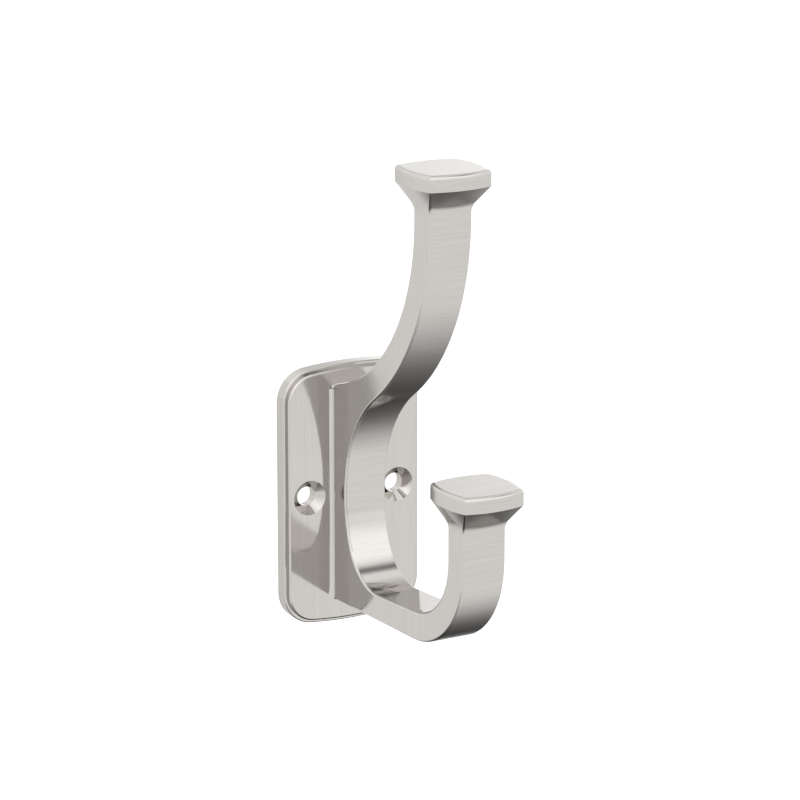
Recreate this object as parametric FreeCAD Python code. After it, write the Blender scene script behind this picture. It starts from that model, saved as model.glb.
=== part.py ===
import FreeCAD, Part
import math
import os
from FreeCAD import Vector

# Double robe hook: one die-cast piece in satin nickel, fixed to a wall with two screws.
# Millimetres. X is right, Y goes into the wall and Z is up. The origin is on the wall,
# midway between the screws, so the wall is the plane Y = 0 and the hook reaches to -Y.

# Plate
plate_width = 38.1
plate_height = 66.3
plate_drop = 0.3             # how far the middle of the plate lies below the screws
plate_crown = 1.7            # rise of the bowed top and bottom edges over their corners
plate_corner_radius = 8.2
rim_thickness = 3.4          # the outer border, next to the wall
rim_edge_bevel = 0.25
panel_thickness = 4.6        # wall to the front of the raised panel
panel_inset = 0.9            # width of the border left round the panel
panel_edge_bevel = 0.4

# Cored back of the casting
pocket_wall = 2.6
pocket_depth = 1.4
boss_wall = 1.2              # metal left round each screw hole in the pocket

# Screw holes, for 8-gauge countersunk screws
screw_spacing = 24.8
hole_diameter = 4.9
countersink_diameter = 8.8
countersink_angle = 90.0

# Arm, a bar of one width seen from the front
arm_width = 11.5
arm_edge_radius = 0.6
root_fillet = 0.4            # round the arm, where it leaves the panel
side_root_radius = 1.5       # of the deeper hollows along both sides of the web

# Upper prong: "reach" is the distance from the wall to its back face at the neck
upper_reach = 44.0
upper_thickness = 7.6
back_arc_radius = 49.7
back_arc_height = 76.8       # height of the centre of the arc of the back face
back_root_slope = 19.3       # degrees, of the straight stretch between the arc and the panel
front_arc_radius = 59.2
front_arc_height = 78.1      # height of the centre of the arc of the front face

# Hollow of the lower hook
web_front = 10.4             # wall to the nearest point of the hollow
hollow_height = 1.1          # height of that point
hollow_corner_radius = 14.0  # corner between the web and the floor
floor_height = -21.7         # of the floor's line, where it meets the wall
floor_slope = 3.5            # degrees, rising away from the wall
mouth_corner_radius = 16.9   # corner between the floor and the lower prong

# Lower prong and underside
lower_reach = 60.2
lower_thickness = 7.4
underside_height = -27.3     # of the underside's line, where it meets the wall
underside_slope = 1.4        # degrees, rising away from the wall
outer_corner_radius = 24.7

# Square heads on both prongs
upper_head_top = 89.6
lower_head_top = 16.6
upper_head_size = 16.5       # between the corners along one side
lower_head_size = 16.0
head_bow = 1.45              # how far each side swells out past its corners
head_corner_radius = 0.6
head_top_corner_radius = 0.2     # the same corner at the top face
head_band = 3.9              # height of the head over its flare
head_edge_radius = 1.0       # round the top of the head
head_edge_steps = 5          # straight steps that make up that round
flare_height = 6.7
flare_foot_radius = 3.9      # the hollow curve where the flare leaves the bar
flare_foot_steps = 3         # sections drawn along that curve

# Working values
same_place = 0.001           # positions closer than this count as one
overhang = 1.0               # how far a cutting shape stands out of the metal
settling_steps = 20          # enough rounds for a head's corner to come to rest


def point(out, up, x=0.0):
    """Point at a distance out from the wall and a height up."""
    return Vector(x, -out, up)


def on_circle(centre, radius, angle):
    """Point of a circle in the side view. Angles are in degrees, from straight out and turning up."""
    turn = math.radians(angle)
    return point(centre[0] + radius * math.cos(turn), centre[1] + radius * math.sin(turn))


def arc(centre, radius, start, end):
    middle = on_circle(centre, radius, (start + end) / 2)
    return Part.Arc(on_circle(centre, radius, start), middle, on_circle(centre, radius, end)).toShape()


def line(a, b):
    return Part.LineSegment(a, b).toShape()


def heading(a, b):
    """Direction from a to b in the side view, in degrees."""
    return math.degrees(math.atan2(b[1] - a[1], b[0] - a[0]))


def first_meeting(height, turn, centre, radius):
    """Where a line that leaves the wall at this height and slope first meets a circle."""
    slope = math.tan(turn)
    fall = height - centre[1]
    a = 1 + slope ** 2
    b = 2 * (slope * fall - centre[0])
    c = centre[0] ** 2 + fall ** 2 - radius ** 2
    out = (-b - math.sqrt(b ** 2 - 4 * a * c)) / (2 * a)
    return (out, height + out * slope)


def straight_back(out):
    """Height of the straight stretch of the upper prong's back at a distance out from the wall."""
    slope = math.radians(back_root_slope)
    touch_out = upper_reach - back_arc_radius * (1 - math.sin(slope))
    touch_height = back_arc_height - back_arc_radius * math.cos(slope)
    return touch_height - (touch_out - out) * math.tan(slope)


def arm_side():
    """Side outline of the arm, both prongs and the web, as one closed face at X = 0."""
    root = panel_thickness / 2
    upper_front = upper_reach + upper_thickness
    lower_front = lower_reach + lower_thickness
    upper_seat = head_underside(upper_head_top) + head_band / 2
    lower_seat = head_underside(lower_head_top) + head_band / 2

    # The back of the upper prong is an arc that ends upright at the neck, and a straight
    # stretch that touches the arc and runs down into the panel
    back = (upper_reach - back_arc_radius, back_arc_height)
    touch_angle = back_root_slope - 90
    root_top = (root, straight_back(root))

    # Its front is an arc too, and the round wall of the hollow touches that arc
    front = (upper_front - front_arc_radius, front_arc_height)
    across = web_front - front[0]
    down = front_arc_height - hollow_height
    hollow_radius = (across ** 2 + down ** 2 - front_arc_radius ** 2) / (2 * (front_arc_radius - across))
    hollow = (web_front + hollow_radius, hollow_height)
    swap = heading(front, hollow)

    # Floor of the hollow, between its two corners, and its long wall in two equal arcs,
    # so that the rounds along the wall's edges come in pieces that follow it closely
    floor_turn = math.radians(floor_slope)
    floor_angle = floor_slope - 90
    corner_line = floor_height + hollow_corner_radius / math.cos(floor_turn)
    corner = first_meeting(corner_line, floor_turn, hollow, hollow_radius - hollow_corner_radius)
    wall_start = 180 + swap
    wall_end = 360 + heading(hollow, corner)
    wall_middle = (wall_start + wall_end) / 2
    mouth_out = lower_reach - mouth_corner_radius
    mouth_line = floor_height + mouth_corner_radius / math.cos(floor_turn)
    mouth = (mouth_out, mouth_line + mouth_out * math.tan(floor_turn))

    # Underside and outer corner
    under_turn = math.radians(underside_slope)
    under_angle = underside_slope - 90
    outer_out = lower_front - outer_corner_radius
    outer_line = underside_height + outer_corner_radius / math.cos(under_turn)
    outer = (outer_out, outer_line + outer_out * math.tan(under_turn))
    root_bottom = (root, underside_height + root * math.tan(under_turn))

    edges = [
        arc(back, back_arc_radius, touch_angle, 0),
        line(point(upper_reach, back[1]), point(upper_reach, upper_seat)),
        line(point(upper_reach, upper_seat), point(upper_front, upper_seat)),
        line(point(upper_front, upper_seat), point(upper_front, front[1])),
        arc(front, front_arc_radius, swap, 0),
        arc(hollow, hollow_radius, wall_start, wall_middle),
        arc(hollow, hollow_radius, wall_middle, wall_end),
        arc(corner, hollow_corner_radius, heading(hollow, corner), floor_angle),
        line(on_circle(corner, hollow_corner_radius, floor_angle),
             on_circle(mouth, mouth_corner_radius, floor_angle)),
        arc(mouth, mouth_corner_radius, floor_angle, 0),
        line(point(lower_reach, mouth[1]), point(lower_reach, lower_seat)),
        line(point(lower_reach, lower_seat), point(lower_front, lower_seat)),
        line(point(lower_front, lower_seat), point(lower_front, outer[1])),
        arc(outer, outer_corner_radius, under_angle, 0),
        line(on_circle(outer, outer_corner_radius, under_angle), point(*root_bottom)),
        line(point(*root_bottom), point(*root_top)),
        line(point(*root_top), on_circle(back, back_arc_radius, touch_angle)),
    ]
    return Part.Face(Part.Wire(Part.__sortEdges__(edges)))


def arm():
    """The bar: the side outline at full width, with its long edges eased."""
    start = Vector(-arm_width / 2, 0, 0)
    bar = arm_side().translated(start).extrude(Vector(arm_width, 0, 0))
    lower_underside = head_underside(lower_head_top)
    open_sides = []
    for edge in bar.Edges:
        box = edge.BoundBox
        in_plate = box.YMin > -panel_thickness
        in_head = box.ZLength < same_place and box.ZMin > lower_underside
        if box.XLength < same_place and not in_plate and not in_head:
            open_sides.append(edge)
    return bar.makeFillet(arm_edge_radius, open_sides)


def side_roots():
    """The deeper hollows between the panel and both sides of the web."""
    top = straight_back(panel_thickness) - arm_edge_radius
    bottom = underside_height + panel_thickness * math.tan(math.radians(underside_slope)) + arm_edge_radius
    far = panel_thickness + side_root_radius
    block_side = side_root_radius + overhang
    hollows = []
    for side in (-1, 1):
        edge_x = side * (arm_width / 2 + side_root_radius)
        corner_x = edge_x if side < 0 else edge_x - block_side
        block = Part.makeBox(block_side, block_side, top - bottom, Vector(corner_x, -far, bottom))
        groove = Part.makeCylinder(side_root_radius, top - bottom, Vector(edge_x, -far, bottom))
        hollows.append(block.cut(groove))
    return hollows


def plate_outline(inset, y):
    """Outline of the plate drawn in by a margin: upright sides, bowed ends and round corners."""
    half = plate_width / 2
    bow_radius = (half ** 2 + plate_crown ** 2) / (2 * plate_crown)
    bow_centre = plate_height / 2 - bow_radius
    corner_x = half - plate_corner_radius
    corner_z = bow_centre + math.sqrt((bow_radius - plate_corner_radius) ** 2 - corner_x ** 2)
    lean = math.atan2(corner_z - bow_centre, corner_x)
    small = plate_corner_radius - inset
    large = bow_radius - inset

    def end_edges(flip):
        def at(x, z):
            return Vector(x, y, flip * z - plate_drop)

        def corner(side):
            spots = []
            for turn in (0, lean / 2, lean):
                across = corner_x + small * math.cos(turn)
                spots.append(at(side * across, corner_z + small * math.sin(turn)))
            return Part.Arc(*spots).toShape()

        end_x = corner_x + small * math.cos(lean)
        end_z = corner_z + small * math.sin(lean)
        bow = Part.Arc(at(-end_x, end_z), at(0, bow_centre + large), at(end_x, end_z)).toShape()
        return [corner(-1), bow, corner(1)]

    side_x = half - inset
    edges = end_edges(1) + end_edges(-1)
    for x in (-side_x, side_x):
        foot = Vector(x, y, -corner_z - plate_drop)
        edges.append(line(foot, Vector(x, y, corner_z - plate_drop)))
    return Part.Face(Part.Wire(Part.__sortEdges__(edges)))


def front_edges(solid, y):
    """Edges of a solid that lie in the upright plane at this depth."""
    chosen = []
    for edge in solid.Edges:
        box = edge.BoundBox
        if box.YLength < same_place and abs(box.YMin - y) < same_place:
            chosen.append(edge)
    return chosen


def plate():
    """Border and raised panel, each with a bevelled front edge."""
    border = plate_outline(0, 0).extrude(Vector(0, -rim_thickness, 0))
    border = border.makeChamfer(rim_edge_bevel, front_edges(border, -rim_thickness))
    panel = plate_outline(panel_inset, 0).extrude(Vector(0, -panel_thickness, 0))
    panel = panel.makeChamfer(panel_edge_bevel, front_edges(panel, -panel_thickness))
    return border.fuse(panel)


def back_pocket():
    """The shallow hollow in the back of the casting, less the bosses round the screws."""
    pocket = plate_outline(pocket_wall, 0).extrude(Vector(0, -pocket_depth, 0))
    boss_radius = hole_diameter / 2 + boss_wall
    for x in screw_places():
        pocket = pocket.cut(rod(boss_radius, pocket_depth, x))
    return pocket


def screw_places():
    return (-screw_spacing / 2, screw_spacing / 2)


def rod(radius, depth, x):
    """Cylinder on the axis of a screw, through the metal from the wall to a depth."""
    start = Vector(x, overhang, 0)
    return Part.makeCylinder(radius, depth + 2 * overhang, start, Vector(0, -1, 0))


def screw_hole(x):
    """A through hole with its countersink in the front of the panel."""
    taper = math.tan(math.radians(countersink_angle / 2))
    sink_depth = (countersink_diameter - hole_diameter) / 2 / taper
    narrow_end = Vector(x, sink_depth - panel_thickness, 0)
    wide_radius = countersink_diameter / 2 + overhang * taper
    sink = Part.makeCone(hole_diameter / 2, wide_radius, sink_depth + overhang, narrow_end, Vector(0, -1, 0))
    return rod(hole_diameter / 2, panel_thickness, x).fuse(sink)


def head_underside(top):
    """Height at which the upright band of a head starts."""
    return top - head_band


def drawn_in_square(half, bow, inset):
    """Half size and bow of a square whose bowed sides are all drawn in by the same distance."""
    side_radius = (half ** 2 + bow ** 2) / (2 * bow)
    centre = half + bow - side_radius
    smaller = side_radius - inset
    corner = (centre + math.sqrt(2 * smaller ** 2 - centre ** 2)) / 2
    return corner, centre + smaller - corner


def pillow(half_x, half_y, bow, radius, out, up):
    """Outline round a prong: four sides that swell out by bow, and round corners."""
    def side_radius(half_length):
        return (half_length ** 2 + bow ** 2) / (2 * bow)

    def drawn_in(half_length, half_across, along):
        if bow == 0:
            return half_across - radius
        curve = side_radius(half_length)
        return half_across + bow - curve + math.sqrt((curve - radius) ** 2 - along ** 2)

    # The centre of a corner's arc lies a corner radius inside both sides
    corner_x = half_x - radius
    corner_y = half_y - radius
    for _ in range(settling_steps):
        corner_x = drawn_in(half_y, half_x, corner_y)
        corner_y = drawn_in(half_x, half_y, corner_x)

    # Where the arc meets the side at +X, and the side at +Y
    lean_x = math.asin(corner_y / (side_radius(half_y) - radius)) if bow else 0
    lean_y = math.asin(corner_x / (side_radius(half_x) - radius)) if bow else 0
    middle = (lean_x + math.pi / 2 - lean_y) / 2
    x_side = (corner_x + radius * math.cos(lean_x), corner_y + radius * math.sin(lean_x))
    y_side = (corner_x + radius * math.sin(lean_y), corner_y + radius * math.cos(lean_y))
    tip = (corner_x + radius * math.cos(middle), corner_y + radius * math.sin(middle))

    def spot(pair, sign_x, sign_y):
        return point(out - sign_y * pair[1], up, sign_x * pair[0])

    def edge(start, middle, end, straight=False):
        return line(start, end) if straight else Part.Arc(start, middle, end).toShape()

    # Side at X, corner, side at Y and corner, for the one half and then for the other
    edges = []
    for sign in (1, -1):
        side_start = spot(x_side, sign, -sign)
        side_end = spot(x_side, sign, sign)
        next_start = spot(y_side, sign, sign)
        next_end = spot(y_side, -sign, sign)
        edges.append(edge(side_start, spot((half_x + bow, 0), sign, sign), side_end, bow == 0))
        edges.append(edge(side_end, spot(tip, sign, sign), next_start))
        edges.append(edge(next_start, spot((0, half_y + bow), sign, sign), next_end, bow == 0))
        edges.append(edge(next_end, spot(tip, -sign, sign), spot(x_side, -sign, sign)))
    return Part.Wire(edges)


def head(reach, thickness, top, size):
    """Square head of a prong: the flare out of the bar, the upright band and its rounded top edge."""
    out = reach + thickness / 2
    half_head = size / 2
    underside = head_underside(top)
    overhang_front = half_head - thickness / 2

    # Seen from the side, the flare is a hollow curve and then a straight line that touches it
    away = math.hypot(overhang_front - flare_foot_radius, flare_height)
    lean = math.atan2(overhang_front - flare_foot_radius, flare_height) + math.asin(flare_foot_radius / away)

    def section(height, grown):
        """Outline of the flare at a height over the bar, grown out by this much at the front."""
        spread = grown / overhang_front
        return pillow(arm_width / 2 + spread * (half_head - arm_width / 2),
                      thickness / 2 + spread * (half_head - thickness / 2),
                      head_bow * spread,
                      arm_edge_radius + spread * (head_corner_radius - arm_edge_radius),
                      out, underside - flare_height + height)

    foot = []
    for step in range(flare_foot_steps + 1):
        turn = lean * step / flare_foot_steps
        foot.append(section(flare_foot_radius * math.sin(turn), flare_foot_radius * (1 - math.cos(turn))))
    curved_flare = Part.makeLoft(foot, True, False)

    # The rest of the flare, the band and its rounded top edge are straight from outline to outline
    outlines = [foot[-1], section(flare_height, overhang_front)]
    for step in range(head_edge_steps + 1):
        turn = math.pi / 2 * step / head_edge_steps
        drawn_in = 1 - math.cos(turn)
        height = top - head_edge_radius * (1 - math.sin(turn))
        half, bow = drawn_in_square(half_head, head_bow, head_edge_radius * drawn_in)
        corner = head_corner_radius + drawn_in * (head_top_corner_radius - head_corner_radius)
        outlines.append(pillow(half, half, bow, corner, out, height))
    return Part.makeLoft(outlines, True, True).fuse(curved_flare)


def double_hook():
    """The whole casting, with its screw holes and its cored back."""
    casting = plate().fuse(arm())
    root = []
    for edge in front_edges(casting, -panel_thickness):
        if max(abs(corner.X) for corner in edge.Vertexes) < arm_width / 2 + same_place:
            root.append(edge)
    casting = casting.makeFillet(root_fillet, root).fuse(side_roots())
    casting = casting.fuse([head(upper_reach, upper_thickness, upper_head_top, upper_head_size),
                            head(lower_reach, lower_thickness, lower_head_top, lower_head_size)])
    casting = casting.cut(back_pocket())
    for x in screw_places():
        casting = casting.cut(screw_hole(x))
    return casting.removeSplitter()


os.makedirs("parts", exist_ok=True)
hook = double_hook()
hook.exportStep("parts/double_hook.step")
print("valid:", hook.isValid(), "solids:", len(hook.Solids), "volume:", round(hook.Volume))
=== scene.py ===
# %% [markdown]
# # A double robe hook in brushed satin nickel
#
# The real hook is one zinc die-casting, brushed and plated with nickel. A thin plate
# lies on the wall, and a square bar grows out of it: one prong sweeps up for robes, and
# a deep J in front of it takes towels. Each prong ends in a flared, pillow-shaped head.
#
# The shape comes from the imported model, in metres, and stays exactly where it is. This
# lesson gives it its surface, a small white studio and the camera of the photograph.

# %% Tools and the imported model
import math

import bmesh
import bpy
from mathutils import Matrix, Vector


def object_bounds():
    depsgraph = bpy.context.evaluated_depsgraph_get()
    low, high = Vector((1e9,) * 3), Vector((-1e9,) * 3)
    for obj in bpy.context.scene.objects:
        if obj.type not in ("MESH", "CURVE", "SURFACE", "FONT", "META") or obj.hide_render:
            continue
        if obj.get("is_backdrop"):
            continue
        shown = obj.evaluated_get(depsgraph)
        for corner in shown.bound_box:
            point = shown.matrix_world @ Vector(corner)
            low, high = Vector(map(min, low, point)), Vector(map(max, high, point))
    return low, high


# Blender counts in metres here, and the hook's own sizes are easier to read in millimetres.
MM = 0.001

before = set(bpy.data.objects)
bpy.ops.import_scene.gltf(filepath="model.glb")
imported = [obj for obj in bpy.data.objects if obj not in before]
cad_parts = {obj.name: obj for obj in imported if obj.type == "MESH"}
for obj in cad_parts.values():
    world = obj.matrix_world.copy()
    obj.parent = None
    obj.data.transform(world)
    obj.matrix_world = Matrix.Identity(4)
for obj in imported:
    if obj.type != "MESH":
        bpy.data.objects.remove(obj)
cad_low, cad_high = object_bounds()
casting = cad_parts["double_hook"]
print("hook spans", [round(side / MM, 1) for side in cad_high - cad_low], "mm")

# %% [markdown]
# ## Camera
#
# The photograph was taken with a long lens from the left of the hook and a little above
# it, so the lines of the plate stay almost parallel. The camera could be given a bare
# position and rotation, but nobody can read those. Here two angles and a distance from
# a point near the middle of the hook say the same, and are easy to change.

# %% Camera at the photograph's angle
view_azimuth = math.radians(-29.76)
view_elevation = math.radians(15.13)
view_distance = 879.06 * MM
aim = Vector((-1.31, -30.0, 29.56)) * MM
sensor_width = 36.0
lens = 164.62

toward_camera = Vector((
    math.sin(view_azimuth) * math.cos(view_elevation),
    -math.cos(view_azimuth) * math.cos(view_elevation),
    math.sin(view_elevation),
))
camera_data = bpy.data.cameras.new("photo_camera")
camera_data.sensor_width = sensor_width
camera_data.lens = lens
camera = bpy.data.objects.new("photo_camera", camera_data)
camera.location = aim + toward_camera * view_distance
camera.rotation_euler = toward_camera.to_track_quat("Z", "Y").to_euler()
bpy.context.scene.collection.objects.link(camera)
bpy.context.scene.camera = camera
print("camera at", [round(value / MM) for value in camera.location], "mm")

# %% [markdown]
# ## Colours and nodes
#
# Colours are picked as sRGB hex values, the way a designer writes them, while shaders
# work in linear light. One function turns the first into the second. Another adds a
# node with its settings and inputs, where an input is a plain value or another node's
# output. Nodes could be added by hand each time, but this keeps a material short.

# %% Colours and nodes


def linear(code):
    """Linear red, green, blue and alpha of an sRGB hex colour such as '#C8C8C8'."""
    channels = []
    for start in (1, 3, 5):
        value = int(code[start:start + 2], 16) / 255
        channels.append(value / 12.92 if value <= 0.04045 else ((value + 0.055) / 1.055) ** 2.4)
    return (*channels, 1.0)


def new_tree(owner):
    """The empty node tree of a new material or world."""
    owner.use_nodes = True
    owner.node_tree.nodes.clear()
    return owner.node_tree


def add_node(tree, kind, settings=None, inputs=None):
    """A new node with its settings; each input is a value or another node's output."""
    node = tree.nodes.new(kind)
    for name, value in (settings or {}).items():
        setattr(node, name, value)
    for name, value in (inputs or {}).items():
        if isinstance(value, bpy.types.NodeSocket):
            tree.links.new(value, node.inputs[name])
        else:
            node.inputs[name].default_value = value
    return node


print("white is", linear("#FFFFFF")[0], "and mid grey is", round(linear("#808080")[0], 3))

# %% [markdown]
# ## Where each finish lies
# A last mask marks the web's corner beside the plate, where shade is painted into the grey.
#
# The casting is brushed on a belt, up and down on the plate and the bar's sides, and
# across on the bar's other faces and the tops of the heads. The belt reaches the prongs
# best. The plate, the web and the inside of the lower hook stay smoother, and the back
# of the plate, which goes against the wall, stays as it was cast.
#
# Each area could be a material of its own on chosen faces, but its border would be a
# sharp line. Here a mask fades each finish into the next. A mask reads the distance
# from the wall, the height over the screws, or the way that a face looks.

# %% Limits of each finish
# A mask goes softly from 0 at its first limit to 1 at its second. The wall is at Y 0 and
# the screws at Z 0, so a place in front of the wall has a negative Y.

# How squarely a face looks to the side, or to the wall
facing_limits = (0.6, 0.8)
# The plate's front is 4.6 mm from the wall, so these take in the plate and leave the bar.
plate_limits = (-5.6 * MM, -5.0 * MM)
# The cored back goes 1.4 mm deep, so these take in its floor.
back_limits = (-2.4 * MM, -2.0 * MM)
# The belt reaches the upper prong, and the top of the plate beside it.
upper_limits = (24 * MM, 34 * MM)
# It also reaches the lower prong, in front of the hollow.
lower_limits = (-46 * MM, -54 * MM)
# The corner between the web and the plate, where shade is painted into the nickel's grey
painted_shade_limits = (-14 * MM, -10 * MM)
print("the belt reaches well from", round(upper_limits[1] / MM), "mm over the screws")

# %% Masks for the finishes, and for the painted shade in the web's corner


def zone(tree, joined, first, second):
    """A mask joined from two parts, each a value and the limits of its change from 0 to 1."""
    steps = []
    for value, limits in (first, second):
        step = add_node(tree, "ShaderNodeMapRange", {"interpolation_type": "SMOOTHSTEP"}, {
            "Value": value, "From Min": limits[0], "From Max": limits[1]})
        steps.append(step.outputs["Result"])
    return add_node(tree, "ShaderNodeMath", {"operation": joined}, {
        0: steps[0], 1: steps[1]}).outputs[0]


def finish_and_shade_zones(tree, coordinates):
    """Masks of the upright lines, the cast back, the belt's reach, and the web's corner where shade is
    painted.
    """
    spot = add_node(tree, "ShaderNodeSeparateXYZ", None, {"Vector": coordinates["Object"]}).outputs
    facing = add_node(tree, "ShaderNodeSeparateXYZ", None, {"Vector": coordinates["Normal"]}).outputs
    sideways = add_node(tree, "ShaderNodeMath", {"operation": "ABSOLUTE"}, {0: facing["X"]}).outputs[0]
    on_side = (sideways, facing_limits)
    return {
        "upright": zone(tree, "MAXIMUM", on_side, (spot["Y"], plate_limits)),
        "cast": zone(tree, "MULTIPLY", (facing["Y"], facing_limits), (spot["Y"], back_limits)),
        "belt": zone(tree, "MAXIMUM", (spot["Z"], upper_limits), (spot["Y"], lower_limits)),
        # The web's corner, where the nickel's grey is darkened as painted shade
        "corner": zone(tree, "MULTIPLY", on_side, (spot["Y"], painted_shade_limits)),
    }


print("finish_and_shade_zones gives the masks upright, cast, belt and corner")

# %% [markdown]
# ## Brush lines
#
# Each grain of the belt cuts a fine, long scratch. An image of brushed metal would be
# the usual way to show them, but it needs an unwrapped mesh and shows a seam at every
# edge. Noise on object coordinates, stretched along the lines, needs neither.

# %% Brush lines
line_length = 16.0 * MM
# Real brush lines are about 0.1 mm wide. Such fine ones don't show, so they are drawn wider.
line_width = 0.30 * MM
# The tops are seen at a glancing angle, so their lines are drawn wider again.
top_line_width = 1.1 * MM
# How many finer layers the noise has, and how strong each is against the one before it
finer_layers = 2.0
layer_strength = 0.6


def stretched_noise(tree, place, stretch):
    """Noise from 0 to 1 whose grains are as wide, deep and high as stretch says."""
    grain = add_node(tree, "ShaderNodeMapping", {"vector_type": "POINT"}, {
        "Vector": place, "Scale": [1 / size for size in stretch]})
    return add_node(tree, "ShaderNodeTexNoise", None, {
        "Vector": grain.outputs["Vector"],
        "Scale": 1.0,
        "Detail": finer_layers,
        "Roughness": layer_strength}).outputs["Fac"]


def brush_lines(tree, place, zones):
    """Lines across or upright, and a fine even skin on the cast back."""
    across = stretched_noise(tree, place, (line_length, top_line_width, line_width))
    upright = stretched_noise(tree, place, (line_width, line_width, line_length))
    skin = stretched_noise(tree, place, (line_width, line_width, line_width))
    brushed = add_node(tree, "ShaderNodeMix", {"data_type": "FLOAT"}, {
        0: zones["upright"], 2: across, 3: upright}).outputs[0]
    return add_node(tree, "ShaderNodeMix", {"data_type": "FLOAT"}, {
        0: zones["cast"], 2: brushed, 3: skin}).outputs[0]


print("brush lines", round(line_width / MM, 2), "mm wide and", round(line_length / MM), "mm long")

# %% [markdown]
# ## Satin nickel
#
# Nickel is a slightly warm, silvery grey. Plated over the brushed casting it mirrors the
# room softly, and more sharply where the belt hardly reached. On the sides of the web, in
# the corner beside the plate, shade is painted into the grey.
#
# One roughness for the whole hook would be simpler, but the sharp and the soft mirror
# images side by side are what makes it look like metal. The brush lines change its tone,
# roughness and bump together, as each line does on the real surface.

# %% Tone and roughness of the nickel
dark_line = "#B4B1AD"
light_line = "#C6C3BF"
# Painted shade: this grey multiplies the nickel on the web's sides in the corner beside the plate.
painted_corner_shade = "#F2F1EF"
smooth_roughness = 0.09
brushed_roughness = 0.19
# How much the roughness changes from one line to the next
line_roughness = 0.05
cast_roughness = 0.34


def line_tone(tree, lines, zones):
    """The grey of the nickel, which changes a little from line to line, with painted shade on the web's
    sides beside the plate.
    """
    tone = add_node(tree, "ShaderNodeMix", {"data_type": "RGBA"}, {
        0: lines, 6: linear(dark_line), 7: linear(light_line)}).outputs[2]
    # Painted shade: the web's sides are darkened in the corner beside the plate.
    return add_node(tree, "ShaderNodeMix", {"data_type": "RGBA", "blend_type": "MULTIPLY"}, {
        0: zones["corner"], 6: tone, 7: linear(painted_corner_shade)}).outputs[2]


def line_sheen(tree, lines, zones):
    """The roughness, low in the sheltered parts, higher on the prongs and highest on the back."""
    lowest = add_node(tree, "ShaderNodeMapRange", None, {
        "Value": zones["belt"],
        "To Min": smooth_roughness - line_roughness / 2,
        "To Max": brushed_roughness - line_roughness / 2}).outputs["Result"]
    brushed = add_node(tree, "ShaderNodeMath", {"operation": "MULTIPLY_ADD"}, {
        0: lines, 1: line_roughness, 2: lowest}).outputs[0]
    return add_node(tree, "ShaderNodeMix", {"data_type": "FLOAT"}, {
        0: zones["cast"], 2: brushed, 3: cast_roughness}).outputs[0]


print("roughness", smooth_roughness, "to", brushed_roughness, "and", cast_roughness, "on the back")

# %% Satin nickel
line_depth = 0.006 * MM
# How deep the lines are where the belt hardly reaches, against elsewhere
sheltered_share = 0.35
# Brushed metal doesn't brighten at a glancing angle as a polished mirror would.
edge_tint = "#DDDDDD"


def satin_nickel():
    """Nickel plate over brushed zinc."""
    # The eye gets a soft mirror in a slightly warm grey, with fine lines that catch the light.
    material = bpy.data.materials.new("satin_nickel_brushed")
    tree = new_tree(material)
    coordinates = add_node(tree, "ShaderNodeTexCoord").outputs
    zones = finish_and_shade_zones(tree, coordinates)
    lines = brush_lines(tree, coordinates["Object"], zones)
    depth = add_node(tree, "ShaderNodeMapRange", None, {
        "Value": zones["belt"], "To Min": sheltered_share})
    bump = add_node(tree, "ShaderNodeBump", None, {
        "Strength": depth.outputs["Result"], "Distance": line_depth, "Height": lines})
    shader = add_node(tree, "ShaderNodeBsdfPrincipled", None, {
        "Base Color": line_tone(tree, lines, zones),
        "Metallic": 1.0,
        "Specular Tint": linear(edge_tint),
        "Roughness": line_sheen(tree, lines, zones),
        "Normal": bump.outputs["Normal"]})
    add_node(tree, "ShaderNodeOutputMaterial", None, {"Surface": shader.outputs["BSDF"]})
    return material


nickel = satin_nickel()
for material_slot in casting.material_slots:
    material_slot.material = nickel
print("nickel on", casting.name, "with", len(nickel.node_tree.nodes), "nodes")

# %% [markdown]
# ## Soft studio light
#
# A photographer lights polished metal by what it mirrors: a white tent all round, large
# soft lamps in it, and black flags that give the curves their dark edges. Area lamps
# would do this too, but each one shows its hard outline in the nickel. Here the tent is
# the world, and each lamp or flag is a soft oval spot in it. The camera itself sees
# plain white, so the background stays clean.

# %% A soft oval spot


def direction(azimuth, elevation):
    """Unit vector of an azimuth, from +Y towards +X, and an elevation, in degrees."""
    turn = math.radians(azimuth)
    rise = math.radians(elevation)
    level_part = math.cos(rise)
    return Vector((math.sin(turn) * level_part, math.cos(turn) * level_part, math.sin(rise)))


def soft_spot(tree, place, centre, turn, radii, level, core=0.0):
    """An oval spot at level, out to core of its radius, that fades to nothing at its edge."""
    near = add_node(tree, "ShaderNodeMapping", {"vector_type": "TEXTURE"}, {
        "Vector": place, "Location": centre, "Rotation": turn, "Scale": radii})
    ball = add_node(tree, "ShaderNodeTexGradient", {"gradient_type": "SPHERICAL"}, {
        "Vector": near.outputs["Vector"]})
    return add_node(tree, "ShaderNodeMapRange", {"interpolation_type": "SMOOTHSTEP"}, {
        "Value": ball.outputs["Fac"], "From Max": 1.0 - core, "To Max": level}).outputs["Result"]


print("straight up is", [round(value, 3) for value in direction(0, 90)])

# %% Lamps and flags in a white tent
tent_level = 1.32
# Azimuth and elevation in degrees, half width and half height on the unit sphere,
# level over the tent, and the share of the radius that is even
tent_spots = {
    "front softbox": (147, 31, 0.50, 0.50, 0.42, 0.45),
    "left softbox": (203, 32, 0.74, 0.75, 0.76, 0.0),
    "strip lamp behind": (35, 8, 0.18, 0.38, 1.12, 0.0),
    "flag behind": (32, 45, 0.37, 0.82, -0.60, 0.0),
    "flag overhead": (109, 60, 0.22, 0.48, -1.00, 0.0),
    "back fill": (322, 30, 1.20, 0.17, 0.13, 0.0),
}


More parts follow.
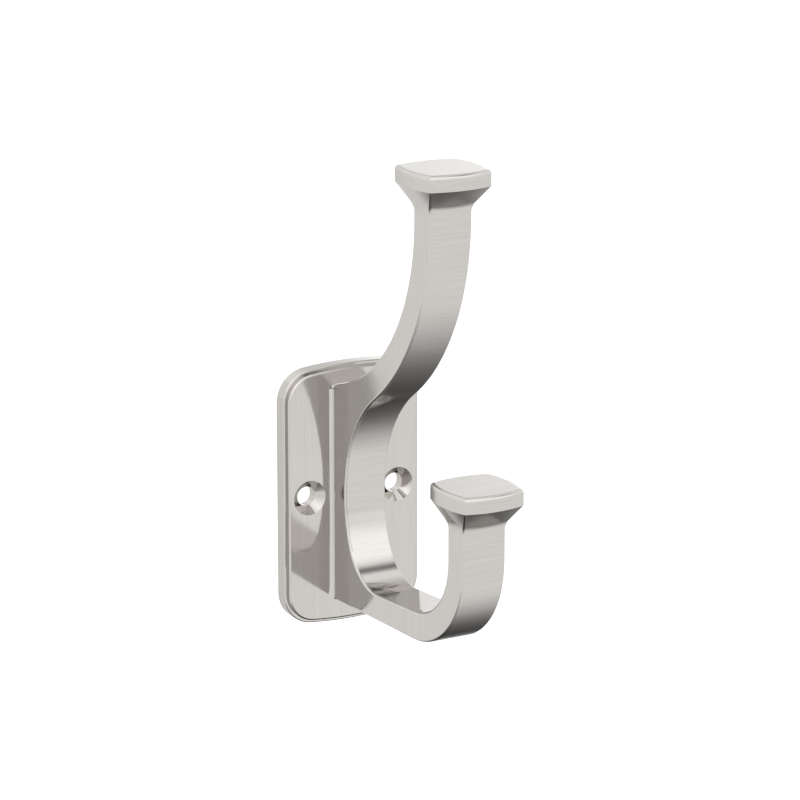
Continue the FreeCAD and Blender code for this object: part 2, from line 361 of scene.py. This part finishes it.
def white_tent():
    """The world: the tent with its lamps and flags, and plain white for the camera."""
    surround = bpy.data.worlds.new("white_tent")
    tree = new_tree(surround)
    place = add_node(tree, "ShaderNodeTexCoord").outputs["Generated"]
    brightness = tent_level
    for azimuth, elevation, across, up, level, core in tent_spots.values():
        centre = direction(azimuth, elevation)
        turn = centre.to_track_quat("Z", "Y").to_euler()
        spot = soft_spot(tree, place, centre, turn, (across, up, max(across, up)), level, core)
        brightness = add_node(tree, "ShaderNodeMath", {"operation": "ADD"}, {
            0: brightness, 1: spot}).outputs[0]
    tent = add_node(tree, "ShaderNodeBackground", None, {"Color": brightness})
    plain = add_node(tree, "ShaderNodeBackground", None, {"Color": linear("#FFFFFF")})
    rays = add_node(tree, "ShaderNodeLightPath")
    mix = add_node(tree, "ShaderNodeMixShader", None, {
        0: rays.outputs["Is Camera Ray"],
        1: tent.outputs["Background"],
        2: plain.outputs["Background"]})
    add_node(tree, "ShaderNodeOutputWorld", None, {"Surface": mix.outputs["Shader"]})
    return surround


bpy.context.scene.world = white_tent()
bpy.context.scene.view_settings.view_transform = "Standard"
print("tent with", len(tent_spots), "lamps and flags")

# %% [markdown]
# ## White floor
#
# The hook hangs on a wall, so the floor is well below it. It is white paper. Light on
# white paper alone comes out a little grey, and more light would spoil the hook. So the
# paper also glows a little, which brings it up to the white of the background and leaves
# room for the hook's shadow. In the nickel it shows one even level. From below it is
# clear, or it would hide the hook.

# %% A level sheet


def flat_sheet(name, side, height, material):
    """A level square round the middle of the scene, at a height, as part of the studio."""
    mesh = bpy.data.meshes.new(name)
    shape = bmesh.new()
    bmesh.ops.create_grid(shape, x_segments=1, y_segments=1, size=side / 2)
    bmesh.ops.translate(shape, vec=(0, 0, height), verts=shape.verts)
    shape.to_mesh(mesh)
    shape.free()
    mesh.materials.append(material)
    sheet = bpy.data.objects.new(name, mesh)
    bpy.context.scene.collection.objects.link(sheet)
    sheet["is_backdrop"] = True
    return sheet


print("flat_sheet is ready for the floor and the cloth")

# %% White floor
# Height, side and levels of the floor, in metres and as a share of white
floor_height = -0.6
floor_side = 30.0
floor_glow = 0.2
floor_mirror_level = 1.20
paper_colour = "#E8E8E8"


def white_paper():
    """Paper that glows a little, seen from above only."""
    # The eye gets an even, matt white with no edge against the background.
    material = bpy.data.materials.new("white_paper")
    tree = new_tree(material)
    paper = add_node(tree, "ShaderNodeBsdfDiffuse", None, {"Color": linear(paper_colour)})
    glow = add_node(tree, "ShaderNodeEmission", None, {"Strength": floor_glow})
    seen = add_node(tree, "ShaderNodeAddShader", None, {
        0: paper.outputs["BSDF"], 1: glow.outputs["Emission"]})
    mirrored = add_node(tree, "ShaderNodeEmission", None, {"Strength": floor_mirror_level})
    rays = add_node(tree, "ShaderNodeLightPath")
    top = add_node(tree, "ShaderNodeMixShader", None, {
        0: rays.outputs["Is Glossy Ray"],
        1: seen.outputs["Shader"],
        2: mirrored.outputs["Emission"]})
    face = add_node(tree, "ShaderNodeNewGeometry")
    clear = add_node(tree, "ShaderNodeBsdfTransparent")
    one_sided = add_node(tree, "ShaderNodeMixShader", None, {
        0: face.outputs["Backfacing"],
        1: top.outputs["Shader"],
        2: clear.outputs["BSDF"]})
    add_node(tree, "ShaderNodeOutputMaterial", None, {"Surface": one_sided.outputs["Shader"]})
    return material


floor = flat_sheet("floor", floor_side, floor_height, white_paper())
print("floor", round(abs(floor_height) / MM), "mm below the screws")

# %% [markdown]
# ## Dark cloth
#
# A white floor would light the flared heads and the curves from below, where they are
# dark in the photograph. A photographer lays black cloth there, out of the picture. Real
# cloth would need folds and a fabric of its own, and nobody would see them. So the cloth
# is a level card that only mirror images show: dark in the middle of each fold, and
# clear towards its edge.

# %% Dark cloth below the hook
cloth_height = -0.5
cloth_side = 3.0
# Middle in X and Y, half length and half width, turn in degrees, and darkness in the middle
cloth_folds = {
    "wide, below the wall": (-0.12, 0.18, 1.15, 0.54, -17, 0.93),
    "slanting, behind on the right": (0.27, 0.30, 1.20, 0.40, 40, 0.88),
    "small, in front on the left": (-0.40, -0.16, 0.42, 0.34, 0, 0.40),
}


def black_cloth():
    """Black in the folds and clear between them."""
    # The eye sees it only in the nickel, as soft dark shapes on what looks down.
    material = bpy.data.materials.new("black_cloth")
    tree = new_tree(material)
    place = add_node(tree, "ShaderNodeTexCoord").outputs["Object"]
    clearness = 1.0
    for x, y, length, width, turn, darkness in cloth_folds.values():
        centre = (x, y, cloth_height)
        fold = soft_spot(tree, place, centre, (0, 0, math.radians(turn)), (length, width, 1.0), darkness)
        rest = add_node(tree, "ShaderNodeMath", {"operation": "SUBTRACT"}, {0: 1.0, 1: fold}).outputs[0]
        clearness = add_node(tree, "ShaderNodeMath", {"operation": "MULTIPLY"}, {
            0: clearness, 1: rest}).outputs[0]
    black = add_node(tree, "ShaderNodeEmission", None, {"Strength": 0.0})
    clear = add_node(tree, "ShaderNodeBsdfTransparent")
    mix = add_node(tree, "ShaderNodeMixShader", None, {
        0: clearness, 1: black.outputs["Emission"], 2: clear.outputs["BSDF"]})
    add_node(tree, "ShaderNodeOutputMaterial", None, {"Surface": mix.outputs["Shader"]})
    return material


cloth = flat_sheet("dark_cloth", cloth_side, cloth_height, black_cloth())
cloth.visible_camera = False
cloth.visible_diffuse = False
cloth.visible_shadow = False
print("cloth with", len(cloth_folds), "folds,", round(abs(cloth_height) / MM), "mm below the screws")

# %% [markdown]
# ## Check the sizes
#
# The nickel and the studio must not change the hook's size. It could be measured by
# eye in a render, but a box in metres is exact. The script prints the largest difference
# between the box of the imported model and the box of what is shown.

# %% Check the sizes
seen_low, seen_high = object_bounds()
growth = max(abs(seen - packed) for seen, packed in zip(seen_high - seen_low, cad_high - cad_low))
print("largest change of size", round(growth / MM, 3), "mm")
